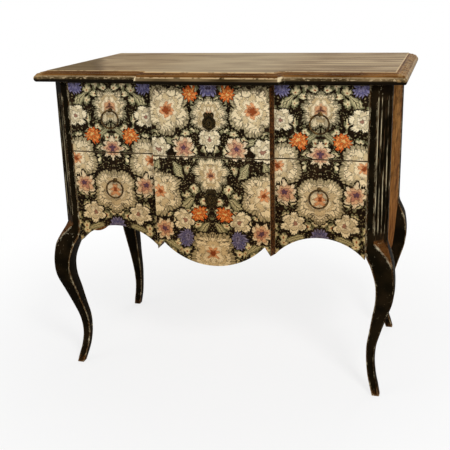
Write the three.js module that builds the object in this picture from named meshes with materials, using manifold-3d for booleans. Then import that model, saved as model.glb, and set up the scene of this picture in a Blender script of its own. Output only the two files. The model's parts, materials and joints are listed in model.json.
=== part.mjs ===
// A commode chest with two drawers on cabriole legs.
// It has a breakfront, fluted and canted front corners, a scalloped apron and a moulded top.
// Lengths are millimetres. +X is the viewer's right, +Y is the back and +Z is up.
// The origin is on the floor, under the middle of the overall box.

import * as THREE from 'three';
import { mergeVertices } from 'three/addons/utils/BufferGeometryUtils.js';
import Module from 'manifold-3d';

const wasm = await Module();
wasm.setup();

// Whole piece
const height = 860;
const topWidth = 968;
const topDepth = 548;
const topThickness = 28;
const topOverhangSide = 35;
const topOverhangFront = 22;
const topOverhangBack = 26;
const mouldingWidth = 27.6;

// Breakfront of the top and of the drawers
const topBreak = 26;
const topBreakHalfWidth = 187;
const blockHalfWidth = 156;
const blockProjection = 22;
const returnSplay = 8;

// Corner stiles and legs
const stileWidth = 52;
const cantWidth = 31;
const arrisWidth = 2;
const kneeHeight = 432;
const kneeReach = 25;
const facetLength = 66;
const fluteCount = 4;
const fluteArris = 1.8;
const fluteBaseBand = 26;
const fluteTopBand = 40;

// Drawer fronts
const frontThickness = 22;
const frontSideGap = 1;
const frontTopGap = 4;
const frontMiddleGap = 3;
const upperFrontHeight = 182.5;

// Scalloped lower edge of the front
const apronHeight = 387;
const archRise = 51.5;
const lobeDrop = 38;
const toothWidth = 15.5;
const notchRise = 24;

// Rails
const railThickness = 22;
const frontRailWidth = 68;
const backRailHeight = 44;
const backRailInset = 16;
const railOverArch = 8;
const tenonLength = 20;
const tenonThickness = 12;
const tenonShoulder = 4;

// Side panels and back panel
const sidePanelThickness = 18;
const sidePanelInset = 1.5;
const tongueThickness = 8;
const tongueLength = 8;
const sideApronRise = 31;
const sideLobeHalfWidth = 105;
const sideLobeHeight = 33;
const sideLobeDrop = 39;
const backPanelThickness = 6;
const backPanelRebate = 10;

// Runners, top side rails and dust panel
const runnerWidth = 54;
const guideHeight = 20;
const dustPanelThickness = 6;
const dustPanelTongue = 7;

// Drawer boxes
const drawerSideThickness = 12;
const drawerSideClearance = 1.5;
const drawerFloorClearance = 0.5;
const drawerTopClearance = 6;
const drawerBackClearance = 22;
const drawerBottomThickness = 6;
const drawerBottomRise = 8;
const drawerGrooveDepth = 6;
const drawerBackDrop = 8;

// Locks, with keyholes this far below the top edge of each drawer front
const upperKeyholeDrop = 92;
const lowerKeyholeDrop = 106;
const keyholeRadius = 2.5;
const keyholeSlotWidth = 3;
const keyholeSlotDrop = 6;
const keyholeInLock = 6;
const lockWidth = 60;
const lockDepth = 14;
const lockTail = 18;
const lockRailGap = 3;
const boltWidth = 20;
const boltThickness = 6;
const boltLength = 40;
const boltTravel = 12;
const boltClearance = 0.6;
const strikeWidth = 44;
const strikeDepth = 10;
const strikeThickness = 2;

// Escutcheons
const escutcheonWidth = 36;
const escutcheonHeight = 50;
const escutcheonThickness = 2.5;
const scrollEyeRadius = 2.1;
const collarWidth = 13;
const collarHeight = 17;
const collarWall = 2;
const collarRelief = 1.4;

// Ring pulls, hanging with their middles this far below the top edge of each drawer front
const upperRingDrop = 94;
const lowerRingDrop = 98.5;
const ringPlace = 278;
const ringRadius = 23.75;
const ringWireRadius = 2.1;
const ringStandoff = 9;
const eyeTubeRadius = 1.6;
const eyeClearance = 0.5;
const stemRadius = 2.2;
const stemPastNut = 1.5;
const roseRadius = 6;
const roseHeight = 1.6;
const nutRadius = 5;
const nutHeight = 4;

// Fits between pieces, and how far a cutter runs past what it cuts
const jointGap = 0.3;
const cutOverrun = 5;

// Smoothness
const legStepsPerSpan = 3;
const arcSteps = 12;
const outlineStepsPerSpan = 2;
const fluteSides = 12;
const fluteEndSteps = 3;
const ringSteps = 30;
const ringSides = 8;
const eyeSteps = 16;
const eyeSides = 8;
const stemSides = 16;
const nutSides = 6;

// Planes and levels, worked out from the sizes above.
// In the case's own frame y = 0 is the face of the drawer fronts beside the breakfront.
const caseHalfWidth = topWidth / 2 - topOverhangSide;
const caseDepth = topDepth - topBreak - topOverhangFront - topOverhangBack;
const caseFrontY = topBreak + topOverhangFront - topDepth / 2;
const underTop = height - topThickness;
const carcassTop = underTop - jointGap;
const stileInner = caseHalfWidth - stileWidth;
const frontStileBack = stileWidth + jointGap;
const backStileFront = caseDepth - stileWidth - jointGap;

const upperFrontTop = underTop - frontTopGap;
const upperFrontBottom = upperFrontTop - upperFrontHeight;
const lowerFrontTop = upperFrontBottom - frontMiddleGap;
const frontHalfWidth = stileInner - frontSideGap;
const blockRootHalfWidth = blockHalfWidth + returnSplay;
const behindFront = frontThickness + jointGap;

const topRailBottom = carcassTop - railThickness;
const middleRailBottom = (upperFrontBottom + lowerFrontTop - railThickness) / 2;
const bottomRailBottom = apronHeight + archRise + railOverArch;
const frontRailBack = behindFront + frontRailWidth;
const backRailBack = caseDepth - backRailInset;
const backRailFront = backRailBack - railThickness;

const sidePanelOuter = caseHalfWidth - sidePanelInset;
const sidePanelInner = sidePanelOuter - sidePanelThickness;
const sidePanelMiddle = (sidePanelOuter + sidePanelInner) / 2;
const sidePanelBottom = apronHeight + sideApronRise;
const bearerOuter = sidePanelInner - jointGap;
const bearerInner = bearerOuter - runnerWidth;
const bearerFront = frontRailBack + jointGap;

const drawerHalfWidth = stileInner - drawerSideClearance;
const drawerInside = drawerHalfWidth - drawerSideThickness;
const drawerBack = backRailFront - drawerBackClearance;
const lockMiddleY = behindFront + lockDepth / 2;
const eyeRadius = ringWireRadius + eyeClearance + eyeTubeRadius;

// What each drawer fits between and what it carries
const drawers = [
  {
    name: 'upper',
    floor: middleRailBottom + railThickness,
    ceiling: topRailBottom,
    keyholeZ: upperFrontTop - upperKeyholeDrop,
    ringMiddleZ: upperFrontTop - upperRingDrop,
  },
  {
    name: 'lower',
    floor: bottomRailBottom + railThickness,
    ceiling: middleRailBottom,
    keyholeZ: lowerFrontTop - lowerKeyholeDrop,
    ringMiddleZ: lowerFrontTop - lowerRingDrop,
  },
];

const sides = [['left', -1], ['right', 1]];

// Materials
const finish = (color, roughness, metalness = 0) =>
  new THREE.MeshStandardMaterial({ color, roughness, metalness });
const blackPaint = finish(0x1c1712, 0.5);
const wornTopWood = finish(0x8a7656, 0.6);
const sideWood = finish(0x875833, 0.6);
const printedWood = finish(0xa8946c, 0.55);
const innerWood = finish(0xb18f62, 0.75);
const agedBrass = finish(0x5e4a28, 0.4, 0.9);
const castMetal = finish(0x2b231c, 0.5, 0.8);
const lockIron = finish(0x54504a, 0.5, 0.8);

const commode = new THREE.Group();
const carcass = new THREE.Group();
carcass.position.y = caseFrontY;
commode.add(carcass);

// Solids for cutting and joining

function toSolid(geometry) {
  const bare = geometry.clone();
  bare.deleteAttribute('normal');
  bare.deleteAttribute('uv');
  const merged = mergeVertices(bare);
  const corners = merged.index.array;
  const kept = [];
  for (let i = 0; i < corners.length; i += 3) {
    const [a, b, c] = corners.slice(i, i + 3);
    if (a !== b && b !== c && c !== a) kept.push(a, b, c);
  }
  const mesh = new wasm.Mesh({
    numProp: 3,
    vertProperties: merged.getAttribute('position').array,
    triVerts: Uint32Array.from(kept),
  });
  return new wasm.Manifold(mesh);
}

function toGeometry(solid) {
  const { vertProperties, triVerts } = solid.getMesh();
  const indexed = new THREE.BufferGeometry();
  indexed.setAttribute('position', new THREE.BufferAttribute(vertProperties, 3));
  indexed.setIndex(new THREE.BufferAttribute(triVerts, 1));
  const faceted = indexed.toNonIndexed();
  faceted.computeVertexNormals();
  return faceted;
}

const joined = (solids) => solids.reduce((whole, solid) => whole.add(solid));
const cutBy = (solid, cutters) => cutters.reduce((rest, cutter) => rest.subtract(cutter), solid);

function addPiece(parent, name, solid, material) {
  const mesh = new THREE.Mesh(toGeometry(solid), material);
  mesh.name = name;
  parent.add(mesh);
}

// Ranges along an axis: about zero, about a middle, or between two ends in either order
const both = (half) => [-half, half];
const about = (middle, half) => [middle - half, middle + half];
const between = (a, b) => [Math.min(a, b), Math.max(a, b)];

function block([x0, x1], [y0, y1], [z0, z1]) {
  const box = new THREE.BoxGeometry(x1 - x0, y1 - y0, z1 - z0);
  box.translate((x0 + x1) / 2, (y0 + y1) / 2, (z0 + z1) / 2);
  return toSolid(box);
}

const polygon = (points) => new THREE.Shape(points.map(([x, y]) => new THREE.Vector2(x, y)));

const rectangle = ([x0, x1], [y0, y1]) => polygon([[x0, y0], [x1, y0], [x1, y1], [x0, y1]]);

const extruded = (shape, depth) =>
  new THREE.ExtrudeGeometry(shape, { depth, bevelEnabled: false, curveSegments: arcSteps });

// A shape drawn in plan, standing between two heights
const standing = (shape, [z0, z1]) => toSolid(extruded(shape, z1 - z0).translate(0, 0, z0));

// A shape drawn as (x, z) from the front, lying between two values of y
const facingFront = (shape, [y0, y1]) =>
  toSolid(extruded(shape, y1 - y0).rotateX(Math.PI / 2).translate(0, y1, 0));

// A shape drawn as (y, z) from the side, lying between two values of x
function facingSide(shape, [x0, x1]) {
  const turn = new THREE.Matrix4().makeBasis(
    new THREE.Vector3(0, 1, 0),
    new THREE.Vector3(0, 0, 1),
    new THREE.Vector3(1, 0, 0),
  );
  return toSolid(extruded(shape, x1 - x0).applyMatrix4(turn).translate(x0, 0, 0));
}

// A round rod along y
function rod(radius, [y0, y1], sideCount, [x, z]) {
  const profile = [[0, y0], [radius, y0], [radius, y1], [0, y1]];
  const points = profile.map(([out, along]) => new THREE.Vector2(out, along));
  return toSolid(new THREE.LatheGeometry(points, sideCount).translate(x, 0, z));
}

// A closed ring of round wire about the y axis
function wireRing(radius, wireRadius, stepCount, sideCount) {
  const wire = Array.from({ length: sideCount }, (_, i) => {
    const angle = (i / sideCount) * Math.PI * 2;
    return new THREE.Vector2(radius + wireRadius * Math.cos(angle), wireRadius * Math.sin(angle));
  });
  return new THREE.LatheGeometry([...wire, wire[0]], stepCount);
}

// A solid through level outlines with the same number of corners, lowest first.
// Each outline runs anticlockwise seen from above.
function stacked(levels) {
  const count = levels[0].outline.length;
  const positions = levels.flatMap(({ z, outline }) => outline.flatMap((p) => [p.x, p.y, z]));
  const faces = [];
  const last = levels.length - 1;
  for (let level = 0; level < last; level += 1) {
    for (let i = 0; i < count; i += 1) {
      const here = level * count + i;
      const next = level * count + ((i + 1) % count);
      faces.push(here, next, next + count, here, next + count, here + count);
    }
  }
  for (const [a, b, c] of THREE.ShapeUtils.triangulateShape(levels[0].outline, [])) {
    faces.push(c, b, a);
  }
  for (const face of THREE.ShapeUtils.triangulateShape(levels[last].outline, [])) {
    faces.push(...face.map((corner) => last * count + corner));
  }
  const geometry = new THREE.BufferGeometry();
  geometry.setAttribute('position', new THREE.Float32BufferAttribute(positions, 3));
  geometry.setIndex(faces);
  return toSolid(geometry);
}

// An arc from left to right between two level ends.
// A rise above zero makes an arch, and one below zero a hanging lobe.
function arcAcross(shape, middle, endHeight, halfChord, rise) {
  const radius = (halfChord ** 2 + rise ** 2) / (2 * Math.abs(rise));
  const sweep = Math.asin(halfChord / radius);
  const up = Math.sign(rise);
  const crown = (up * Math.PI) / 2;
  const centre = endHeight + rise - up * radius;
  shape.absarc(middle, centre, radius, crown + up * sweep, crown - up * sweep, up > 0);
}

// Top: one panel with an edge moulding along the front and both sides, square at the back

// The moulding from the underside up: how far in from the nose, as a share of its width,
// and how far below the flat field, as a share of the top's thickness
const mouldingShares = [
  [0.23, 1],
  [0.09, 0.94],
  [0.01, 0.8],
  [0, 0.66],
  [0.03, 0.52],
  [0.11, 0.4],
  [0.17, 0.37],
  [0.23, 0.28],
  [0.35, 0.21],
  [0.5, 0.185],
  [0.53, 0.12],
  [0.74, 0.105],
  [0.92, 0.06],
  [0.97, 0.04],
  [1, 0],
];

// The top's outline with its front and sides set in from the nose
function topOutline(inset) {
  const sideNose = caseFrontY - topOverhangFront;
  const middleNose = sideNose - topBreak;
  const slope = Math.hypot(topBreak, returnSplay);
  const returnX = (y) => {
    const startX = topBreakHalfWidth - (inset * topBreak) / slope;
    const startY = middleNose + (inset * returnSplay) / slope;
    return startX + ((y - startY) * returnSplay) / topBreak;
  };
  const right = [
    [returnX(middleNose + inset), middleNose + inset],
    [returnX(sideNose + inset), sideNose + inset],
    [topWidth / 2 - inset, sideNose + inset],
    [topWidth / 2 - inset, topDepth / 2],
  ];
  const left = right.map(([x, y]) => [-x, y]).toReversed();
  return [...right, ...left].map(([x, y]) => new THREE.Vector2(x, y));
}

const topLevels = mouldingShares.map(([inShare, downShare]) => ({
  z: height - downShare * topThickness,
  outline: topOutline(inShare * mouldingWidth),
}));
addPiece(commode, 'top_panel', stacked(topLevels), wornTopWood);

// Rails: three behind the drawer fronts and two at the back, tenoned into the legs

const frontRails = [
  { name: 'top_front_rail', bottom: topRailBottom, drawerBelow: 'upper' },
  { name: 'middle_front_rail', bottom: middleRailBottom, drawerBelow: 'lower' },
  { name: 'bottom_front_rail', bottom: bottomRailBottom },
].map((rail) => ({
  ...rail,
  top: rail.bottom + railThickness,
  front: behindFront,
  back: frontRailBack,
  tenonFront: behindFront + tenonShoulder,
}));

const backRails = [
  { name: 'top_back_rail', bottom: carcassTop - backRailHeight },
  { name: 'bottom_back_rail', bottom: bottomRailBottom },
].map((rail) => ({
  ...rail,
  top: rail.bottom + backRailHeight,
  front: backRailFront,
  back: backRailBack,
  tenonFront: backRailFront + (railThickness - tenonThickness) / 2,
}));

// The tenon at one end of a rail, or with a clearance the mortise that takes it
function tenon(rail, side, clearance) {
  const tip = stileInner + tenonLength - jointGap + clearance;
  return block(
    between(side * (stileInner - cutOverrun), side * tip),
    [rail.tenonFront - clearance, rail.tenonFront + tenonThickness + clearance],
    [rail.bottom + tenonShoulder - clearance, rail.top - tenonShoulder + clearance],
  );
}

// The hole that the bolt of the lock below rises into
function boltMortise(rail) {
  const reach = rail.bottom - lockRailGap + boltTravel + boltClearance;
  return block(
    both(boltWidth / 2 + boltClearance),
    about(lockMiddleY, boltThickness / 2 + boltClearance),
    [rail.bottom - cutOverrun, reach],
  );
}

function strikeRecess(rail) {
  return block(
    both(strikeWidth / 2 + jointGap),
    about(lockMiddleY, strikeDepth / 2 + jointGap),
    [rail.bottom - cutOverrun, rail.bottom + strikeThickness + jointGap],
  );
}

function strikePlate(rail) {
  const plate = block(
    both(strikeWidth / 2),
    about(lockMiddleY, strikeDepth / 2),
    [rail.bottom, rail.bottom + strikeThickness],
  );
  return plate.subtract(boltMortise(rail));
}

for (const rail of [...frontRails, ...backRails]) {
  const beam = block(both(stileInner - jointGap), [rail.front, rail.back], [rail.bottom, rail.top]);
  const whole = joined([beam, tenon(rail, -1, 0), tenon(rail, 1, 0)]);
  const cuts = rail.drawerBelow ? [strikeRecess(rail), boltMortise(rail)] : [];
  addPiece(carcass, rail.name, cutBy(whole, cuts), innerWood);
  if (rail.drawerBelow) {
    addPiece(carcass, `strike_plate_${rail.drawerBelow}`, strikePlate(rail), agedBrass);
  }
}

// Legs: a square stile that runs on as a cabriole leg, bowed out along the diagonal.
// The front stiles are canted and fluted, and the cant dies away in a facet on the knee.

// From the floor to the top of the knee: height as a share of the knee's height,
// the outer corner's reach past the stile as a share of the knee's reach,
// and the thickness as a share of the stile's width
const legShares = [
  [0, -0.16, 0.385],
  [0.058, -0.4, 0.413],
  [0.127, -0.7, 0.413],
  [0.22, -0.88, 0.419],
  [0.324, -0.73, 0.49],
  [0.428, -0.28, 0.577],
  [0.544, 0.31, 0.715],
  [0.66, 0.9, 0.846],
  [0.764, 1, 0.915],
  [0.861, 0.8, 1.06],
  [0.898, 0.63, 1.138],
  [0.93, 0.42, 1.163],
  [0.972, 0.12, 1.063],
  [1, 0, 1],
];

const legPoints = legShares.map(
  ([rise, reach, thickness]) =>
    new THREE.Vector3(reach * kneeReach, thickness * stileWidth, rise * kneeHeight),
);
const legCurve = new THREE.CatmullRomCurve3(legPoints, false, 'centripetal');

function cantAt(z, cant) {
  const rise = THREE.MathUtils.clamp((z - kneeHeight + facetLength) / facetLength, 0, 1);
  return arrisWidth + (cant - arrisWidth) * rise ** 2;
}

// A leg's outline at one level. It stands at the left (-1) or right (1) side of the case
// and at its front (-1) or back (1) end.
function legOutline(reach, thickness, cant, side, end) {
  const inner = Math.max(reach - thickness, -stileWidth);
  const corners = [
    [inner, inner],
    [reach, inner],
    [reach, reach - cant],
    [reach - cant, reach],
    [inner, reach],
  ];
  const cornerX = side * caseHalfWidth;
  const cornerY = end < 0 ? 0 : caseDepth;
  const outline = corners.map(
    ([out, along]) => new THREE.Vector2(cornerX + side * out, cornerY + end * along),
  );
  return THREE.ShapeUtils.isClockWise(outline) ? outline.toReversed() : outline;
}

// Half-round flutes with round ends, side by side across the cant
function flutes(side) {
  const faceLength = cantWidth * Math.SQRT2;
  const pitch = (faceLength - fluteArris) / fluteCount;
  const radius = (pitch - fluteArris) / 2;
  const bottom = kneeHeight + fluteBaseBand;
  const top = underTop - fluteTopBand;
  return Array.from({ length: fluteCount }, (_, i) => {
    const across = (fluteArris / 2 + (i + 0.5) * pitch) / Math.SQRT2;
    const straight = top - bottom - 2 * radius;
    const flute = new THREE.CapsuleGeometry(radius, straight, fluteEndSteps, fluteSides);
    flute.rotateX(Math.PI / 2);
    flute.translate(side * (caseHalfWidth - cantWidth + across), across, (top + bottom) / 2);
    return toSolid(flute);
  });
}

// The groove in a stile for a side panel's tongue
function panelGroove(side, end) {
  const shoulder = end < 0 ? frontStileBack : backStileFront;
  return block(
    about(side * sidePanelMiddle, tongueThickness / 2 + jointGap),
    between(shoulder + end * (tongueLength + jointGap), shoulder - end * cutOverrun),
    [sidePanelBottom - jointGap, underTop + cutOverrun],
  );
}

// The rebate in a back stile for the back panel's edge
function backRebate(side) {
  return block(
    between(side * (stileInner - cutOverrun), side * (stileInner + backPanelRebate + jointGap)),
    [backRailBack, caseDepth + cutOverrun],
    [bottomRailBottom - jointGap, underTop + cutOverrun],
  );
}

function leg(side, end) {
  const cant = end < 0 ? cantWidth : arrisWidth;
  const levels = legCurve.getPoints((legPoints.length - 1) * legStepsPerSpan).map((point) => ({
    z: point.z,
    outline: legOutline(point.x, point.y, cantAt(point.z, cant), side, end),
  }));
  levels.push({ z: carcassTop, outline: legOutline(0, stileWidth, cant, side, end) });
  const rails = end < 0 ? frontRails : backRails;
  const mortises = rails.map((rail) => tenon(rail, side, jointGap));
  const shaping = end < 0 ? flutes(side) : [backRebate(side)];
  return cutBy(stacked(levels), [...mortises, panelGroove(side, end), ...shaping]);
}

for (const [sideName, side] of sides) {
  addPiece(carcass, `leg_front_${sideName}`, leg(side, -1), blackPaint);
  addPiece(carcass, `leg_back_${sideName}`, leg(side, 1), blackPaint);
}

// Side panels: a lobe hangs from the lower edge, and the edge sweeps up from it to the stiles

// How far along its run and its rise the sweep's control point lies
const sweepRunShare = 0.25;
const sweepRiseShare = 0.5;

function sidePanelShape() {
  const middle = (frontStileBack + backStileFront) / 2;
  const lobeEnd = apronHeight - sideLobeDrop + sideLobeHeight;
  const sweepRun = backStileFront - middle - sideLobeHalfWidth;
  const controlOut = sideLobeHalfWidth + sweepRun * sweepRunShare;
  const controlHeight = lobeEnd + (sidePanelBottom - lobeEnd) * sweepRiseShare;
  const shape = new THREE.Shape();
  shape.moveTo(backStileFront, carcassTop);
  shape.lineTo(frontStileBack, carcassTop);
  shape.lineTo(frontStileBack, sidePanelBottom);
  shape.quadraticCurveTo(middle - controlOut, controlHeight, middle - sideLobeHalfWidth, lobeEnd);
  arcAcross(shape, middle, lobeEnd, sideLobeHalfWidth, -sideLobeHeight);
  shape.quadraticCurveTo(middle + controlOut, controlHeight, backStileFront, sidePanelBottom);
  return shape;
}

function sidePanel(side) {
  const tongues = block(
    about(side * sidePanelMiddle, tongueThickness / 2),
    [frontStileBack - tongueLength, backStileFront + tongueLength],
    [sidePanelBottom, carcassTop],
  );
  const panel = facingSide(sidePanelShape(), about(side * sidePanelMiddle, sidePanelThickness / 2));
  return panel.add(tongues);
}

for (const [sideName, side] of sides) {
  addPiece(carcass, `side_panel_${sideName}`, sidePanel(side), sideWood);
}

// Back panel, in the rebates of the back stiles and against the back rails

const backPanel = block(
  both(stileInner + backPanelRebate),
  [backRailBack + jointGap, backRailBack + jointGap + backPanelThickness],
  [bottomRailBottom, carcassTop],
);
addPiece(carcass, 'back_panel', backPanel, innerWood);

// Bearers between the front rails and the back stiles: the rails under the top keep the
// upper drawer from tipping, and each drawer slides on two runners with side guides

const bearerRun = [bearerFront, backStileFront];
const dustPanelMiddle = middleRailBottom + railThickness / 2;

for (const [sideName, side] of sides) {
  const rail = block(
    between(side * bearerInner, side * bearerOuter),
    bearerRun,
    [topRailBottom, carcassTop],
  );
  addPiece(carcass, `top_side_rail_${sideName}`, rail, innerWood);
}

function runner(side, floor) {
  const base = block(
    between(side * bearerInner, side * bearerOuter),
    bearerRun,
    [floor - railThickness, floor],
  );
  const guide = block(
    between(side * stileInner, side * bearerOuter),
    bearerRun,
    [floor - railThickness, floor + guideHeight],
  );
  return base.add(guide);
}

function dustGroove(side) {
  return block(
    between(side * (bearerInner - cutOverrun), side * (bearerInner + dustPanelTongue + jointGap)),
    [bearerFront - cutOverrun, backStileFront + cutOverrun],
    about(dustPanelMiddle, dustPanelThickness / 2 + jointGap),
  );
}

for (const { name, floor } of drawers) {
  for (const [sideName, side] of sides) {
    const grooves = name === 'upper' ? [dustGroove(side)] : [];
    addPiece(carcass, `runner_${name}_${sideName}`, cutBy(runner(side, floor), grooves), innerWood);
  }
}

const dustPanel = block(
  both(bearerInner + dustPanelTongue),
  bearerRun,
  about(dustPanelMiddle, dustPanelThickness / 2),
);
addPiece(carcass, 'dust_panel', dustPanel, innerWood);

// Drawer fronts: a flat board over the case, and a thicker block on its middle
// with splayed returns. The lower pair ends in the scalloped apron.

const notchHalfWidth = blockHalfWidth - toothWidth;
const notchHeight = apronHeight + notchRise;

// The lobe and the teeth beside it, from left to right
function middleApron(shape) {
  shape.lineTo(-blockRootHalfWidth, apronHeight);
  shape.lineTo(-blockHalfWidth, apronHeight);
  shape.lineTo(-notchHalfWidth, notchHeight);
  arcAcross(shape, 0, notchHeight, notchHalfWidth, -(notchRise + lobeDrop));
  shape.lineTo(blockHalfWidth, apronHeight);
  shape.lineTo(blockRootHalfWidth, apronHeight);
}

function lowerFrontShape() {
  const archHalfWidth = (frontHalfWidth - blockRootHalfWidth) / 2;
  const archMiddle = (frontHalfWidth + blockRootHalfWidth) / 2;
  const shape = new THREE.Shape();
  shape.moveTo(frontHalfWidth, lowerFrontTop);
  shape.lineTo(-frontHalfWidth, lowerFrontTop);
  shape.lineTo(-frontHalfWidth, apronHeight);
  arcAcross(shape, -archMiddle, apronHeight, archHalfWidth, archRise);
  middleApron(shape);
  arcAcross(shape, archMiddle, apronHeight, archHalfWidth, archRise);
  return shape;
}

function lowerBlockShape() {
  const shape = new THREE.Shape();
  shape.moveTo(blockRootHalfWidth, lowerFrontTop);
  shape.lineTo(-blockRootHalfWidth, lowerFrontTop);
  middleApron(shape);
  return shape;
}

const upperHeights = [upperFrontBottom, upperFrontTop];
const frontShapes = {
  upper: rectangle(both(frontHalfWidth), upperHeights),
  lower: lowerFrontShape(),
};
const blockShapes = {
  upper: rectangle(both(blockRootHalfWidth), upperHeights),
  lower: lowerBlockShape(),
};

function splayedBlock(shape) {
  const plan = polygon([
    [-blockHalfWidth, -blockProjection],
    [blockHalfWidth, -blockProjection],
    [blockRootHalfWidth, -jointGap],
    [-blockRootHalfWidth, -jointGap],
  ]);
  const uncut = facingFront(shape, [-blockProjection - cutOverrun, cutOverrun]);
  return uncut.intersect(standing(plan, [0, height]));
}

// A round hole with a slot below it, through everything between two values of y
function keyhole(z, range) {
  const slot = block(both(keyholeSlotWidth / 2), range, [z - keyholeSlotDrop, z]);
  return rod(keyholeRadius, range, stemSides, [0, z]).add(slot);
}

// Escutcheons: a cast plate of scrolls and leaves with a raised collar round the keyhole

// The right half from the top down: shares of half the width and of half the height
const escutcheonShares = [
  [0, 0.98],
  [0.1, 0.88],
  [0.22, 0.8],
  [0.34, 0.95],
  [0.5, 1],
  [0.68, 0.9],
  [0.74, 0.7],
  [0.68, 0.5],
  [0.66, 0.38],
  [0.84, 0.3],
  [0.96, 0.1],
  [1, -0.12],
  [0.93, -0.26],
  [0.97, -0.46],
  [0.76, -0.5],
  [0.62, -0.66],
  [0.42, -0.72],
  [0.22, -0.86],
  [0.1, -0.98],
  [0, -1],
];
const scrollEyeShares = [0.46, 0.72];

function escutcheonOutline() {
  const right = escutcheonShares.map(
    ([out, up]) => new THREE.Vector2((out * escutcheonWidth) / 2, (up * escutcheonHeight) / 2),
  );
  const steps = (right.length - 1) * outlineStepsPerSpan;
  const curve = new THREE.SplineCurve(right).getPoints(steps);
  const left = curve.slice(1, -1).map((point) => new THREE.Vector2(-point.x, point.y));
  return new THREE.Shape([...curve, ...left.toReversed()]);
}

function collarOval(wall) {
  const across = collarWidth / 2 - wall;
  const upright = collarHeight / 2 - wall;
  return new THREE.Shape().absellipse(0, 0, across, upright, 0, Math.PI * 2, false, 0);
}

function escutcheon(keyholeZ) {
  const back = -blockProjection - jointGap;
  const face = back - escutcheonThickness;
  const through = [face - collarRelief - cutOverrun, back + cutOverrun];
  const plate = facingFront(escutcheonOutline(), [face, back]);
  const collar = facingFront(collarOval(0), [face - collarRelief, back]);
  const hollow = facingFront(collarOval(collarWall), [through[0], face]);
  const raised = plate.add(collar.translate(0, 0, -keyholeSlotDrop / 2));
  const whole = raised.subtract(hollow.translate(0, 0, -keyholeSlotDrop / 2));
  const [outShare, upShare] = scrollEyeShares;
  const eyes = sides.map(([, side]) => {
    const x = (side * outShare * escutcheonWidth) / 2;
    const z = keyholeZ + (upShare * escutcheonHeight) / 2;
    return rod(scrollEyeRadius, through, stemSides, [x, z]);
  });
  return cutBy(whole.translate(0, 0, keyholeZ), [keyhole(keyholeZ, through), ...eyes]);
}

// Locks: an iron case behind the front, open at the top for the bolt

function lockCase({ ceiling, keyholeZ }) {
  const top = ceiling - lockRailGap;
  const body = block(
    both(lockWidth / 2),
    [behindFront, behindFront + lockDepth],
    [keyholeZ - lockTail, top],
  );
  const channel = block(
    both(boltWidth / 2 + boltClearance),
    about(lockMiddleY, boltThickness / 2 + boltClearance),
    [top - boltLength - boltClearance, top + cutOverrun],
  );
  return cutBy(body, [channel, keyhole(keyholeZ, [0, behindFront + keyholeInLock])]);
}

function lockBolt({ ceiling }) {
  const top = ceiling - lockRailGap;
  return block(both(boltWidth / 2), about(lockMiddleY, boltThickness / 2), [top - boltLength, top]);
}

// Ring pulls: the ring hangs in an eye, whose stem passes through the front to a nut inside

function ring(x, middleZ) {
  const wire = wireRing(ringRadius, ringWireRadius, ringSteps, ringSides);
  return toSolid(wire.translate(x, -ringStandoff, middleZ));
}

function eyePin(x, pivotZ) {
  const eye = wireRing(eyeRadius, eyeTubeRadius, eyeSteps, eyeSides);
  eye.rotateZ(Math.PI / 2);
  eye.translate(x, -ringStandoff, pivotZ);
  const stemEnd = behindFront + nutHeight + stemPastNut;
  const stem = rod(stemRadius, [eyeRadius - ringStandoff, stemEnd], stemSides, [x, pivotZ]);
  const rose = rod(roseRadius, [-jointGap - roseHeight, -jointGap], stemSides, [x, pivotZ]);
  return joined([toSolid(eye), stem, rose]);
}

const stemHole = (x, z, range) => rod(stemRadius + jointGap, range, stemSides, [x, z]);

function nut(x, z) {
  const body = rod(nutRadius, [behindFront, behindFront + nutHeight], nutSides, [x, z]);
  return body.subtract(stemHole(x, z, [0, behindFront + nutHeight + cutOverrun]));
}

// Each drawer: its front, box, lock and pulls, which all slide together

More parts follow.
